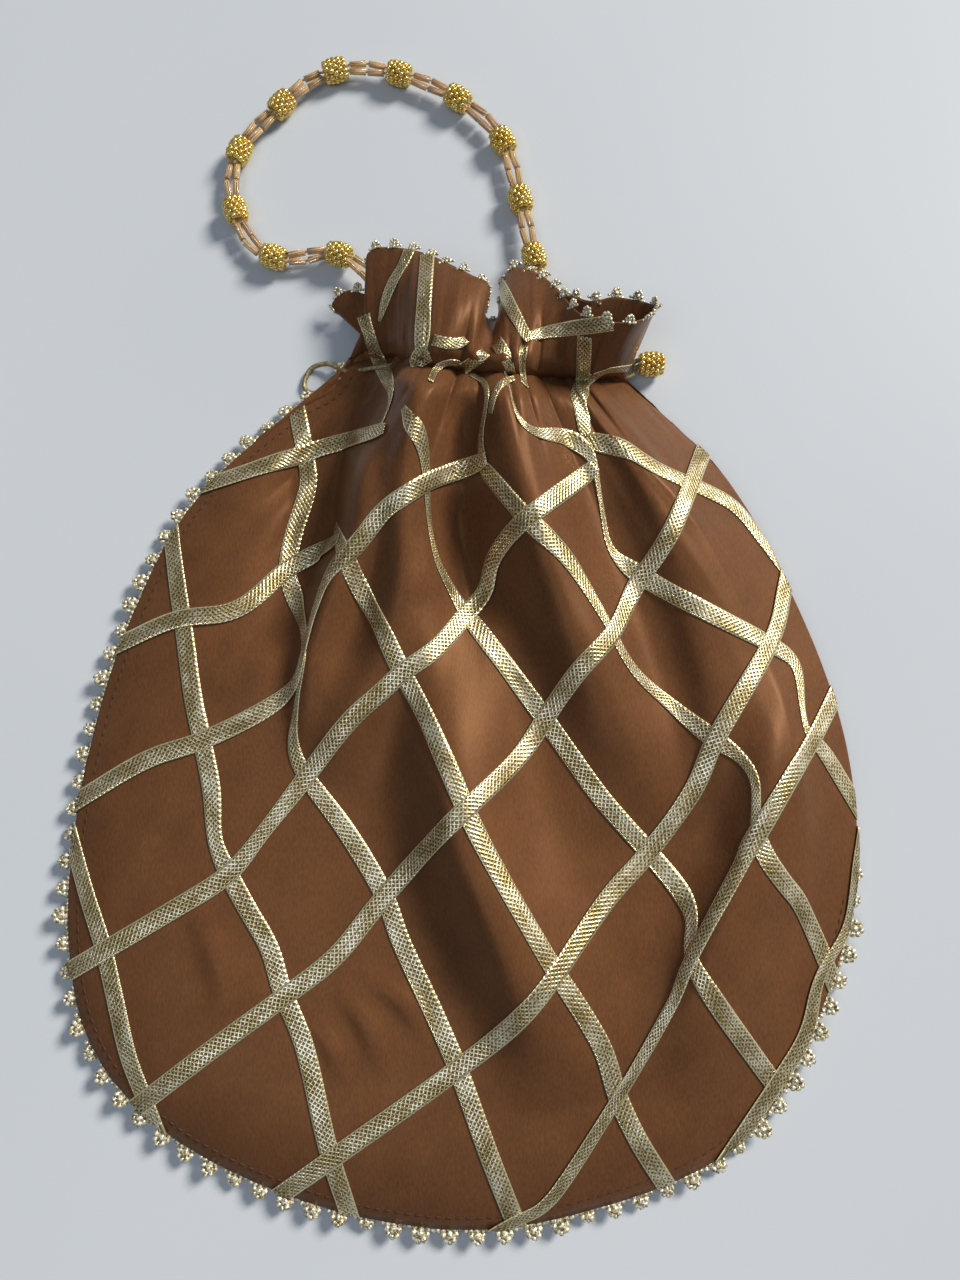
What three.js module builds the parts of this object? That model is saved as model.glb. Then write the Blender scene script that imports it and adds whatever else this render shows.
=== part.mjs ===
// Potli bag: a gathered satin drawstring pouch with a trellis of woven metallic ribbon, picot lace in
// its seams and mouth, a drawstring with a stop bead, and a handle of two beaded strands.
// Millimetres. The bag lies on its back panel: +X right, +Y from the pouch towards the handle, +Z up.

import * as THREE from 'three';

// Overall sizes
const overallLength = 264; // from the lace at the bottom to the lace of the mouth
const panelHalfWidth = 105.5;
const widestHeight = 98; // the widest row, measured up from the bottom of the panel
const frillLength = 28; // cloth above the drawn neck
const neckHalfWidth = 38;
const neckFillet = 12; // rounding between the sloping shoulder and the neck
const shoulderReach = 36; // how far the shoulder keeps its slope below the neck
const frillHalfWidth = 45;
const neckShift = 6; // the drawn neck lies a little to the right of the middle

// Cloth
const clothThickness = 0.8;
const bodyCrown = 11; // rise of the front panel over its rim at the widest row
const neckCrown = 20;
const frillCrown = 23;
const neckLift = 2.4; // the front rim rises towards the neck so that the drawstring can come out
const neckLiftRun = 34; // over this length
const pleatCount = 4;
const neckPleatDepth = 1.1;
const frillPleatDepth = 1.4;
const clearance = 0.3; // between pieces that are sewn or lie together

// Ribbon trellis
const ribbonWidth = 5.6;
const ribbonThickness = 0.35;
const ribbonsPerSet = 8;
const riseSlope = 0.9; // sideways run per unit of height
const riseMargins = [45, 17]; // from the panel's two far corners to the first and last ribbon
const fallSlope = -0.6;
const fallMargins = [15, 62];
const ribbonLift = 0.55; // clear of the pleated cloth
const overlayGap = 0.45; // between the two sets where they cross

// Picot lace
const laceReach = 3.6;
const laceValley = 1.2;
const laceThickness = 0.8;
const laceInset = 4; // width caught in the seam
const picotPitch = 7;
const laceStop = 12; // the seam lace ends this far below the neck

// Drawstring
const drawstringRadius = 0.7;
const drawstringSpread = 0.95; // half the distance between its two runs
const drawstringSteps = 56;
const channelDrop = 1.8; // from the cloth down to the middle of the cord, where the arch is steep

// Handle
const beadLength = 7.4;
const beadRadius = 3.5;
const beadBore = 2.05;
const beadSides = 12;
const beadRows = 6;
const granuleHeight = 0.8;
const beadPitch = 19.65;
const firstBeadAt = 20.2; // from the sewn end to the middle of the first bead
const lastBeadClear = 16; // at least this from the last bead to the other sewn end
const bugleLength = 4.9;
const bugleRadius = 0.95;
const threadRadius = 0.35;
const threadSpread = 0.6; // half the distance between the threads inside a bead
const bugleSpread = 1.15; // half the distance between the bugles beside a bead
const gapSpread = 1.6; // and halfway between two beads
const strandSides = 6;

// Heights of the layers, from the surface up
const backRiseZ = 0;
const backFallZ = backRiseZ + ribbonThickness + clearance;
const backPanelZ = backFallZ + ribbonThickness + clearance;
const backPanelTop = backPanelZ + clothThickness;
const seamLaceZ = backPanelTop + clearance;
const frontRimZ = seamLaceZ + laceThickness + clearance;

// Places along the bag
const bottomY = -overallLength / 2 + laceReach;
const topY = overallLength / 2 - laceReach;
const neckY = topY - frillLength;
const widestY = bottomY + widestHeight;

const satin = material(0x69422d, 0.42, 0);
const goldRibbon = material(0xcfc492, 0.35, 0.7);
const picotLace = material(0xd3c8a0, 0.45, 0.6);
const goldCord = material(0xb9a468, 0.6, 0.3);
const goldBead = material(0xc9a24a, 0.3, 0.9);
const bugleGlass = material(0xc4a68a, 0.15, 0.1);

function material(color, roughness, metalness) {
  return new THREE.MeshStandardMaterial({ color, roughness, metalness });
}

const bag = new THREE.Group();

function addPiece(name, geometry, finish) {
  const piece = new THREE.Mesh(geometry, finish);
  piece.name = name;
  bag.add(piece);
  return piece;
}

// Joins closed loops of points into one solid; the loops have one even length, and the two ends are
// capped unless the last loop joins the first.
function loft(loops, closed = false) {
  const size = loops[0].length;
  const index = [];
  const quad = (a, b, c, d) => index.push(a, b, c, a, c, d);
  const last = closed ? loops.length : loops.length - 1;
  for (let row = 0; row < last; row += 1) {
    const here = row * size;
    const next = ((row + 1) % loops.length) * size;
    for (let i = 0; i < size; i += 1) {
      const j = (i + 1) % size;
      quad(here + i, here + j, next + j, next + i);
    }
  }
  if (!closed) {
    const end = (loops.length - 1) * size;
    for (let i = 0; i < size / 2 - 1; i += 1) {
      quad(size - 1 - i, size - 2 - i, i + 1, i);
      quad(end + i, end + i + 1, end + size - 2 - i, end + size - 1 - i);
    }
  }
  const geometry = new THREE.BufferGeometry();
  geometry.setFromPoints(loops.flat());
  geometry.setIndex(signedVolume(loops.flat(), index) > 0 ? index : index.reverse());
  geometry.computeVertexNormals();
  return geometry;
}

function signedVolume(points, index) {
  let volume = 0;
  for (let i = 0; i < index.length; i += 3) {
    const [a, b, c] = [points[index[i]], points[index[i + 1]], points[index[i + 2]]];
    volume += a.dot(b.clone().cross(c)) / 6;
  }
  return volume;
}

// Outline of a panel: half its width at each height, from the round bottom to the flared mouth.
const point2 = (x, y) => new THREE.Vector2(x, y);
const lowerEdge = new THREE.CubicBezierCurve(
  point2(0, bottomY),
  point2(panelHalfWidth * 0.59, bottomY),
  point2(panelHalfWidth, widestY - widestHeight / 2),
  point2(panelHalfWidth, widestY),
);
const upperEdge = new THREE.CubicBezierCurve(
  point2(panelHalfWidth, widestY),
  point2(panelHalfWidth, THREE.MathUtils.lerp(widestY, neckY, 0.44)),
  point2(neckHalfWidth + shoulderReach, neckY - shoulderReach),
  point2(neckHalfWidth + neckFillet, neckY - neckFillet),
);
const neckEdge = new THREE.QuadraticBezierCurve(
  point2(neckHalfWidth + neckFillet, neckY - neckFillet),
  point2(neckHalfWidth, neckY),
  point2(neckHalfWidth, neckY + neckFillet / 2),
);
const frillEdge = new THREE.QuadraticBezierCurve(
  point2(neckHalfWidth, neckY + neckFillet / 2),
  point2(neckHalfWidth, neckY + frillLength / 2),
  point2(frillHalfWidth, topY),
);
const edgePoints = [lowerEdge, upperEdge, neckEdge, frillEdge].flatMap((curve) => curve.getPoints(80));

function halfWidthAt(y) {
  const above = edgePoints.findIndex((point) => point.y >= y);
  const high = edgePoints[Math.max(above, 1)];
  const low = edgePoints[Math.max(above, 1) - 1];
  const share = high.y > low.y ? (y - low.y) / (high.y - low.y) : 0;
  return THREE.MathUtils.lerp(low.x, high.x, THREE.MathUtils.clamp(share, 0, 1));
}

const step = THREE.MathUtils.smoothstep;
const middleAt = (y) => neckShift * step(y, widestY, neckY);

// Height of the front panel's outer face; across runs from -1 at the left seam to 1 at the right seam.
function frontFace(across, y) {
  let crown = bodyCrown * step(y, bottomY, widestY);
  crown += (neckCrown - bodyCrown) * step(y, widestY, neckY);
  crown += (frillCrown - neckCrown) * step(y, neckY, topY);
  let depth = neckPleatDepth * step(y, THREE.MathUtils.lerp(widestY, neckY, 0.3), neckY);
  depth += (frillPleatDepth - neckPleatDepth) * step(y, neckY, topY);
  const rim = frontRimZ + clothThickness + neckLift * step(y, neckY - neckLiftRun, neckY);
  const pleat = depth * Math.cos(Math.PI * pleatCount * across) * (1 - across * across);
  return rim + crown * (1 - Math.abs(across) ** 2.4) + pleat;
}

function placeOn(across, y, z) {
  return new THREE.Vector3(middleAt(y) + across * halfWidthAt(y), y, z);
}

// Front and back panels
const rowHeights = [];
const bottomRows = 6;
const shoulderRows = 8;
const neckRows = 4;
const frillRows = 4;
const firstRowShare = 0.07; // the lowest row is this far along the round edge, not at its tip
for (let i = 0; i < bottomRows; i += 1) {
  const share = THREE.MathUtils.lerp(firstRowShare, 1, i / bottomRows);
  rowHeights.push(lowerEdge.getPoint(share).y);
}
for (let i = 0; i < shoulderRows; i += 1) {
  rowHeights.push(upperEdge.getPoint(i / shoulderRows).y);
}
for (let i = 0; i < neckRows; i += 1) {
  rowHeights.push(neckEdge.getPoint(i / neckRows).y);
}
for (let i = 0; i <= frillRows; i += 1) {
  rowHeights.push(frillEdge.getPoint(i / frillRows).y);
}

function panel(columns, outerFace, innerFace) {
  const loops = rowHeights.map((y) => {
    const outer = [];
    const inner = [];
    for (let i = 0; i <= columns; i += 1) {
      const across = (2 * i) / columns - 1;
      outer.push(placeOn(across, y, outerFace(across, y)));
      inner.unshift(placeOn(across, y, innerFace(across, y)));
    }
    return [...outer, ...inner];
  });
  return loft(loops);
}

const frontColumns = 28;
const backColumns = 2;
const frontInside = (across, y) => frontFace(across, y) - clothThickness;
addPiece('front_panel', panel(frontColumns, frontFace, frontInside), satin);
addPiece('back_panel', panel(backColumns, () => backPanelTop, () => backPanelZ), satin);

// Ribbon trellis: each ribbon is a straight line on the flat panel, which the gathering draws in with
// the cloth. The rising set is sewn over the falling set.
const seamShare = 0.975; // ribbons end this close to the seam
const mouthMargin = 1;

function flatHalfWidth(y) {
  return y > widestY ? panelHalfWidth : halfWidthAt(y);
}

// Offsets of the ribbons of one set, spread evenly between the panel's far corners.
function ribbonOffsets(slope, margins) {
  const corners = edgePoints.flatMap(({ y }) => [-1, 1].map((side) => side * flatHalfWidth(y) - slope * y));
  const first = Math.min(...corners) + margins[0];
  const last = Math.max(...corners) - margins[1];
  const shares = Array.from({ length: ribbonsPerSet }, (_, i) => i / (ribbonsPerSet - 1));
  return shares.map((share) => THREE.MathUtils.lerp(first, last, share));
}

// The stretch of a flat line that lies on the panel, as its lowest and highest y.
function stretchOnPanel(offset, slope) {
  const heights = [];
  const samples = 1200;
  for (let i = 0; i <= samples; i += 1) {
    const y = THREE.MathUtils.lerp(bottomY, topY - mouthMargin, i / samples);
    if (Math.abs(offset + slope * y) <= seamShare * flatHalfWidth(y)) {
      heights.push(y);
    }
  }
  return [heights[0], heights[heights.length - 1]];
}

function ribbon(offset, slope, stationGap, face) {
  const halfRun = (ribbonWidth / 2) * Math.hypot(1, slope);
  const edges = [offset - halfRun, offset + halfRun].map((line) => ({
    line,
    range: stretchOnPanel(line, slope),
  }));
  const longest = Math.max(...edges.map(({ range }) => range[1] - range[0]));
  const stations = Math.max(2, Math.ceil(longest / stationGap));
  const loops = [];
  for (let i = 0; i <= stations; i += 1) {
    const [left, right] = edges.map(({ line, range }) => {
      const y = THREE.MathUtils.lerp(range[0], range[1], i / stations);
      const across = (line + slope * y) / flatHalfWidth(y);
      return placeOn(across, y, face(across, y));
    });
    const raised = [left, right].map((corner) => corner.clone().setZ(corner.z + ribbonThickness));
    loops.push([left, right, raised[1], raised[0]]);
  }
  return loft(loops);
}

const frontStation = 8;
const backStation = 24;
const overlay = ribbonThickness + overlayGap;
const frontUnder = (across, y) => frontFace(across, y) + ribbonLift;
const frontOver = (across, y) => frontUnder(across, y) + overlay;

function addRibbons(name, slope, margins, stationGap, face) {
  ribbonOffsets(slope, margins).forEach((offset, i) => {
    addPiece(`${name}_${i + 1}`, ribbon(offset, slope, stationGap, face), goldRibbon);
  });
}

addRibbons('front_ribbon_fall', fallSlope, fallMargins, frontStation, frontUnder);
addRibbons('front_ribbon_rise', riseSlope, riseMargins, frontStation, frontOver);
addRibbons('back_ribbon_fall', fallSlope, fallMargins, backStation, () => backFallZ);
addRibbons('back_ribbon_rise', riseSlope, riseMargins, backStation, () => backRiseZ);

// Picot lace in the seam: a flat band whose outer edge is scalloped.
const picotShape = [laceValley, laceReach, laceReach]; // reach at each station of one picot

function seamLine() {
  const heights = edgePoints.map((point) => point.y).filter((y) => y < neckY - laceStop);
  const side = (sign) => heights.map((y) => placeOn(sign, y, seamLaceZ));
  return new THREE.CatmullRomCurve3([...side(-1).reverse(), ...side(1).slice(1)]);
}

function seamLace() {
  const line = seamLine();
  const picots = Math.round(line.getLength() / picotPitch);
  const stations = picots * picotShape.length;
  line.arcLengthDivisions = stations * 4;
  const loops = [];
  for (let i = 0; i <= stations; i += 1) {
    const base = line.getPointAt(i / stations);
    const along = line.getTangentAt(i / stations);
    const outward = new THREE.Vector3(along.y, -along.x, 0).negate().normalize();
    outward.multiplyScalar(outward.dot(base) < 0 ? -1 : 1);
    const tip = base.clone().addScaledVector(outward, picotShape[i % picotShape.length]);
    const root = base.clone().addScaledVector(outward, -laceInset);
    const raised = [tip, root].map((corner) => corner.clone().setZ(corner.z + laceThickness));
    loops.push([root, tip, raised[0], raised[1]]);
  }
  return loft(loops);
}

// Picot lace of the mouth: a closed band round the edge of the frill.
function mouthLace() {
  const middle = (across, face) => placeOn(across, topY, face(across, topY));
  const samples = 60;
  const front = [];
  const back = [];
  for (let i = 0; i <= samples; i += 1) {
    const across = (2 * i) / samples - 1;
    front.push(middle(across, (u, y) => frontFace(u, y) - clothThickness / 2));
    back.unshift(middle(across, () => backPanelZ + clothThickness / 2));
  }
  const line = new THREE.CatmullRomCurve3([...front, ...back], true);
  const picots = Math.round(line.getLength() / picotPitch);
  const stations = picots * picotShape.length;
  line.arcLengthDivisions = stations * 4;
  const loops = [];
  for (let i = 0; i < stations; i += 1) {
    const base = line.getPointAt(i / stations);
    const along = line.getTangentAt(i / stations);
    const outward = new THREE.Vector3(-along.z, 0, along.x).normalize().multiplyScalar(laceThickness / 2);
    const [outer, inner] = [base.clone().add(outward), base.clone().sub(outward)];
    const reach = picotShape[i % picotShape.length];
    const atY = (corner, y) => corner.clone().setY(y);
    loops.push([
      atY(inner, topY + clearance),
      atY(outer, topY + clearance),
      atY(outer, topY + reach),
      atY(inner, topY + reach),
    ]);
  }
  return loft(loops, true);
}

addPiece('seam_lace', seamLace(), picotLace);
addPiece('mouth_lace', mouthLace(), picotLace);

// Granulated bead: a barrel whose face is covered with rows of small raised grains, with a bore along Y.
function granulatedBead() {
  const loops = [];
  for (let row = 0; row < beadRows; row += 1) {
    const share = (2 * row) / (beadRows - 1) - 1;
    const atEnd = Math.abs(share) === 1;
    const barrel = (beadRadius - granuleHeight) * (1 - 0.1 * share * share);
    const grain = (side) => ((row + side) % 2 === 0 && !atEnd ? granuleHeight : granuleHeight / 4);
    loops.push(beadRing((share * beadLength) / 2, (side) => barrel + grain(side)));
  }
  loops.push(beadRing(beadLength / 2, () => beadBore));
  loops.push(beadRing(-beadLength / 2, () => beadBore));
  return loft(loops, true);
}

function beadRing(y, radiusOf) {
  const ring = [];
  for (let side = 0; side < beadSides; side += 1) {
    const angle = (2 * Math.PI * side) / beadSides;
    const radius = radiusOf(side);
    ring.push(new THREE.Vector3(radius * Math.cos(angle), y, radius * Math.sin(angle)));
  }
  return ring;
}

function addBead(name, place, along) {
  const bead = addPiece(name, granulatedBead(), goldBead);
  bead.position.copy(place);
  bead.quaternion.setFromUnitVectors(new THREE.Vector3(0, 1, 0), along);
}

// Drawstring: from the stop bead through the front of the channel, out on the left in a small loop,
// and back through the rear of the channel to the bead.
const neckLeft = placeOn(-1, neckY, 0).x;
const neckRight = placeOn(1, neckY, 0).x;
const stopBead = new THREE.Vector3(neckRight + beadLength / 2 + 3.5, neckY + 3.4, beadRadius + 0.2);
const channelZ = backPanelTop + clearance + drawstringRadius;

function drawstringLine() {
  const frontY = neckY + drawstringSpread;
  const backY = neckY - drawstringSpread;
  const exitZ = channelZ + 0.5;
  const points = [];
  const add = (x, y, z) => points.push(new THREE.Vector3(x, y, z));
  add(stopBead.x - 0.5, stopBead.y + drawstringSpread, stopBead.z);
  add(stopBead.x - beadLength / 2 - 0.5, stopBead.y + drawstringSpread, stopBead.z);
  add(neckRight - 1, frontY, exitZ);
  for (let across = 0.9; across >= -0.91; across -= 0.1) {
    const under = frontInside(across, frontY) - clearance - channelDrop;
    points.push(placeOn(across, frontY, Math.max(under, exitZ)));
  }
  add(neckLeft - 1.5, frontY + 0.5, exitZ);
  add(neckLeft - 6, frontY + 3, 2.6);
  add(neckLeft - 11, frontY + 2, 1.2);
  add(neckLeft - 13, frontY - 3, 0.9);
  add(neckLeft - 10, backY - 3.5, 1.2);
  add(neckLeft - 5, backY - 1.5, exitZ - 0.4);
  add(neckLeft - 1, backY, exitZ);
  for (let across = -0.8; across <= 0.81; across += 0.4) {
    points.push(placeOn(across, backY, channelZ));
  }
  add(neckRight - 1, backY, exitZ);
  add(stopBead.x - beadLength / 2 - 0.5, stopBead.y - drawstringSpread, stopBead.z);
  add(stopBead.x - 0.5, stopBead.y - drawstringSpread, stopBead.z);
  return new THREE.CatmullRomCurve3(points);
}

function tubeAlong(line, radius, steps) {
  const sides = 8;
  const section = new THREE.Shape();
  for (let side = 0; side < sides; side += 1) {
    const angle = (2 * Math.PI * side) / sides;
    const corner = point2(radius * Math.cos(angle), radius * Math.sin(angle));
    if (side === 0) {
      section.moveTo(corner.x, corner.y);
    } else {
      section.lineTo(corner.x, corner.y);
    }
  }
  return new THREE.ExtrudeGeometry(section, { steps, extrudePath: line, bevelEnabled: false });
}

addPiece('drawstring', tubeAlong(drawstringLine(), drawstringRadius, drawstringSteps), goldCord);
addBead('drawstring_bead', stopBead, new THREE.Vector3(1, 0, 0));

// Handle route, chosen by hand: sewn inside the neck on the left, out of the mouth, round on the
// surface, and back into the mouth on the right.
const beadZ = beadRadius + 0.1;
const insideZ = backPanelTop + beadRadius + clearance;
const sewnZ = backPanelTop + clearance + threadRadius;
const handleRoute = new THREE.CatmullRomCurve3([
  new THREE.Vector3(-19, neckY + 4, sewnZ),
  new THREE.Vector3(-20, neckY + 9, insideZ - 1),
  new THREE.Vector3(-22, 118, insideZ),
  new THREE.Vector3(-26.5, 128, insideZ),
  new THREE.Vector3(-33, 135, 5.2),
  new THREE.Vector3(-40.5, 138, 4.2),
  new THREE.Vector3(-48, 137, beadZ),
  new THREE.Vector3(-55, 136.6, beadZ),
  new THREE.Vector3(-61.5, 139.6, beadZ),
  new THREE.Vector3(-66, 146, beadZ),
  new THREE.Vector3(-69, 155, beadZ),
  new THREE.Vector3(-69.5, 165, beadZ),
  new THREE.Vector3(-65.5, 175, beadZ),
  new THREE.Vector3(-57, 184.5, beadZ),
  new THREE.Vector3(-48.5, 193, beadZ),
  new THREE.Vector3(-37, 198, beadZ),
  new THREE.Vector3(-23, 197, beadZ),
  new THREE.Vector3(-4, 189, beadZ),
  new THREE.Vector3(10, 175.5, beadZ),
  new THREE.Vector3(15.5, 157, beadZ),
  new THREE.Vector3(19, 139, 5),
  new THREE.Vector3(23, 122, insideZ),
  new THREE.Vector3(24, neckY + 9, insideZ - 1),
  new THREE.Vector3(24, neckY + 4, sewnZ),
]);
const handleLength = handleRoute.getLength();
handleRoute.arcLengthDivisions = 1000;
handleRoute.updateArcLengths();

const beadPlaces = [];
for (let at = firstBeadAt; at <= handleLength - lastBeadClear; at += beadPitch) {
  beadPlaces.push(at);
}

// One strand: its thread, stepped up to the bugle beads strung on it between the gold beads.
function strand(side) {
  const loops = [];
  const ring = (at, radius, spread) => {
    const place = handleRoute.getPointAt(at / handleLength);
    const along = handleRoute.getTangentAt(at / handleLength);
    const sideways = new THREE.Vector3(along.y, -along.x, 0).normalize();
    const upward = sideways.clone().cross(along).normalize();
    place.addScaledVector(sideways, side * spread);
    const loop = [];
    for (let corner = 0; corner < strandSides; corner += 1) {
      const angle = (2 * Math.PI * corner) / strandSides;
      const offset = sideways.clone().multiplyScalar(radius * Math.cos(angle));
      offset.addScaledVector(upward, radius * Math.sin(angle));
      loop.push(place.clone().add(offset));
    }
    loops.push(loop);
  };
  const shoulder = 0.15; // length of the step from thread to bugle
  const slack = (beadPitch - beadLength - 2 * bugleLength) / 3;
  const addBugle = (start, startSpread, endSpread) => {
    ring(start - shoulder, threadRadius, startSpread);
    ring(start, bugleRadius, startSpread);
    ring(start + bugleLength, bugleRadius, endSpread);
  };
  const addPair = (start) => {
    addBugle(start, bugleSpread, gapSpread);
    addBugle(start + bugleLength + slack, gapSpread, bugleSpread);
    ring(start + 2 * bugleLength + slack + shoulder, threadRadius, bugleSpread);
  };
  const addSingle = (start) => {
    addBugle(start, bugleSpread, bugleSpread);
    ring(start + bugleLength + shoulder, threadRadius, bugleSpread);
  };
  ring(0, threadRadius, threadSpread);
  addSingle(firstBeadAt - beadLength / 2 - slack - bugleLength);
  beadPlaces.forEach((at, i) => {
    ring(at - beadLength / 2 + 0.2, threadRadius, threadSpread);
    ring(at + beadLength / 2 - 0.2, threadRadius, threadSpread);
    const start = at + beadLength / 2 + slack;
    if (i < beadPlaces.length - 1) {
      addPair(start);
    } else {
      addSingle(start);
    }
  });
  ring(handleLength, threadRadius, threadSpread);
  return loft(loops);
}

addPiece('handle_strand_a', strand(1), bugleGlass);
addPiece('handle_strand_b', strand(-1), bugleGlass);
beadPlaces.forEach((at, i) => {
  const place = handleRoute.getPointAt(at / handleLength);
  const along = handleRoute.getTangentAt(at / handleLength);
  addBead(`handle_bead_${String(i + 1).padStart(2, '0')}`, place, along);
});

export default bag;
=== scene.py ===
import math
import bmesh
import bpy
import numpy as np
from mathutils import Matrix, Vector
from mathutils.bvhtree import BVHTree


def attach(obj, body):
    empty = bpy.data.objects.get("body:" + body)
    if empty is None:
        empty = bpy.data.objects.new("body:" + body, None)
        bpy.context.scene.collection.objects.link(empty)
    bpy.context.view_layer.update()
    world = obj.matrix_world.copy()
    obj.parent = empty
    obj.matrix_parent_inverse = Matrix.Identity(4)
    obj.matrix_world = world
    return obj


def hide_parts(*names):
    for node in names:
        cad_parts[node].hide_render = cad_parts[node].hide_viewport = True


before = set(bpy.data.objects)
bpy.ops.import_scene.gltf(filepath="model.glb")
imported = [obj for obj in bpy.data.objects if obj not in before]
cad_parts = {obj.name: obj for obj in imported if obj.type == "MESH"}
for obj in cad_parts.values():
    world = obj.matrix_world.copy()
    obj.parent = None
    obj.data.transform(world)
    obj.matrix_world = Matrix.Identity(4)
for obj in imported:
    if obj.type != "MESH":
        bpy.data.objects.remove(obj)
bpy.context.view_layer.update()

rng = np.random.default_rng(7)
MM = 0.001

# The photograph's view, in pixels of a 960 by 1280 frame and millimetres on the table
FRAME_WIDTH = 960
FRAME_HEIGHT = 1280
FOCAL = 1000
TILT = math.radians(8.5)
REACH = 280
AIM = (4, 24)
EYE = np.array((AIM[0], AIM[1] - REACH * math.sin(TILT), REACH * math.cos(TILT)))
FORWARD = np.array((0, math.sin(TILT), -math.cos(TILT)))
UPWARD = np.array((0, math.cos(TILT), math.sin(TILT)))

# Sizes in millimetres
CLOTH = 0.5
RIBBON_WIDTH = 4.9
RIBBON_THICKNESS = 0.22
SEAM_Z = 2.9
RIM = 3.6
BODY_CROWN = 7.5
NECK_CROWN = 7.0
TURN_IN = 0.6
PIXEL = 0.28
PICOT_PITCH = 7.0
MOUTH_PICOT_PITCH = 6.0
BEAD_LENGTH = 7.4
GRANULE = 0.95
BUGLE_LENGTH = 4.9
BUGLE_RADIUS = 1.0
THREAD = 0.7
CORD = 1.4
BEAD_PITCH = 19.65
FIRST_BEAD = 20.2

# How far the rim's, the neck's and the folds' heights take to rise or fade over the front, in pixels
EDGE_REACH = 46
ROLL_REACH = 70
NECK_REACH = 160
FOLD_EDGE = 50

# The panel's edge at the seam, from the neck's left end round to its right end
SEAM = (
    (-33.6, 105.4), (-39, 96), (-47.6, 91), (-64.4, 77), (-75.3, 65), (-84.5, 50.5), (-93.2, 29),
    (-99, 9.7), (-103.3, -12), (-105.6, -33.5), (-105.4, -54.3), (-101.5, -74.6), (-93.6, -89.6),
    (-81, -102), (-68, -110.4), (-52, -117.6), (-34, -123.5), (-16, -127), (1.5, -128.3),
    (19, -126.6), (34.6, -123), (50, -118.3), (65.7, -111), (79, -99.4), (90, -82), (99, -62),
    (104.8, -41.3), (105.4, -20.2), (103.2, -1.3), (98, 18), (90.5, 37.7), (82.8, 55),
    (72.2, 72.4), (61.2, 84.3), (50, 95), (45.8, 99),
)
# Stretch of the seam, as shares of its length, where the cloth rolls over and hides the lace
ROLL = (0.73, 1.04)
ROLL_HEIGHT = 2.6
ROLL_INSET = 5.0

# The gathered line at the drawstring, as seen: pixels
NECK = (
    (350, 358), (372, 352), (398, 356), (428, 362), (465, 366), (505, 370), (545, 373),
    (585, 374), (612, 375), (625, 381),
)
# The mouth's front edge: share across the neck, pixel, height
FRONT_MOUTH = (
    (0.00, 388, 292, 9), (0.03, 374, 276, 11), (0.06, 366, 258, 13), (0.10, 376, 248, 15),
    (0.17, 402, 248, 18), (0.25, 428, 254, 21), (0.32, 450, 264, 24), (0.38, 470, 274, 26),
    (0.43, 489, 285, 24), (0.455, 488, 302, 16), (0.48, 486, 316, 11), (0.50, 496, 319, 10),
    (0.52, 499, 306, 10), (0.55, 503, 280, 10), (0.59, 512, 268, 12), (0.65, 530, 270, 16),
    (0.70, 548, 280, 20), (0.75, 562, 295, 25), (0.80, 578, 312, 30), (0.86, 603, 321, 34),
    (0.92, 630, 323, 35), (0.97, 650, 317, 31), (1.00, 657, 306, 20),
)
BACK_MOUTH = (
    (0.00, 388, 292, 9), (0.05, 366, 294, 10), (0.10, 349, 290, 9), (0.15, 332, 304, 6),
    (0.20, 346, 316, 3), (0.28, 390, 304, 2.5), (0.38, 440, 304, 3), (0.46, 470, 332, 3),
    (0.52, 497, 336, 3), (0.60, 530, 314, 4), (0.68, 562, 296, 10), (0.76, 591, 301, 14),
    (0.83, 612, 297, 15), (0.90, 630, 299, 16), (0.96, 645, 302, 17), (1.00, 657, 306, 20),
)
BACK_NECK = ((350, 360, 2.8), (420, 372, 2.4), (487, 376, 2.4), (560, 378, 2.4), (625, 381, 2.8))

# Folds of the front: pixels of the crest from the neck down, its height there, and how far the
# fold reaches to the left and to the right of the crest, in pixels
FOLDS = (
    (((425, 372, 7), (412, 440, 7), (406, 500, 6.5), (404, 570, 6), (384, 650, 4.5), (350, 720, 3),
      (332, 790, 0)), 27, 44),
    (((392, 385, 4), (364, 440, 5.5), (354, 490, 6.5), (347, 535, 6), (327, 590, 5), (312, 640, 4),
      (304, 700, 2.5), (300, 760, 0)), 13, 36),
    (((372, 400, -4), (338, 465, -6), (326, 525, -6), (302, 590, -3.5), (286, 660, -1.5),
      (278, 730, 0)), 60, 18),
    (((508, 385, 7), (516, 450, 7.5), (540, 530, 7.5), (562, 590, 7), (584, 645, 6.5), (606, 700, 5),
      (634, 765, 3), (650, 840, 0)), 46, 46),
    (((466, 390, -1), (464, 430, -2.5), (462, 470, -1), (462, 490, 0)), 24, 24),
    (((452, 480, -1), (452, 530, -3), (470, 590, -2), (480, 640, 0)), 22, 26),
    (((430, 600, 1), (440, 680, 4.5), (446, 760, 7), (464, 850, 7.5), (502, 940, 7), (534, 1020, 4.5),
      (556, 1110, 0)), 40, 70),
    (((606, 400, 4), (650, 480, 4.4), (682, 555, 4.2), (704, 625, 3.8), (718, 690, 3.4), (726, 760, 2.5),
      (724, 840, 0)), 36, 70),
    (((796, 660, 0), (778, 760, 3.5), (758, 850, 4.5), (722, 940, 4.5), (698, 1020, 3), (684, 1100, 0)),
     36, 60),
    (((305, 630, 0), (262, 668, 1.6), (214, 700, 0)), 20, 24),
    (((330, 985, 0), (365, 1025, 0.9), (385, 1085, 0)), 9, 12),
    (((300, 1010, 0), (332, 1050, 0.8), (345, 1090, 0)), 8, 10),
    (((352, 975, 0), (402, 1002, 0.9), (428, 1050, 0)), 9, 12),
    (((165, 1050, 0), (225, 1005, 0.7), (275, 975, 0)), 9, 13),
    (((190, 900, 0), (215, 960, 0.8), (225, 1020, 0)), 12, 16),
)
FOLD_DEPTH = 1.9
NECK_PLEATS = 13
NECK_PLEAT_DEPTH = 2.6
NECK_PINCH = 6.0
PINCH_REACH = 4.5
FRILL_FADE = 60
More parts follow.
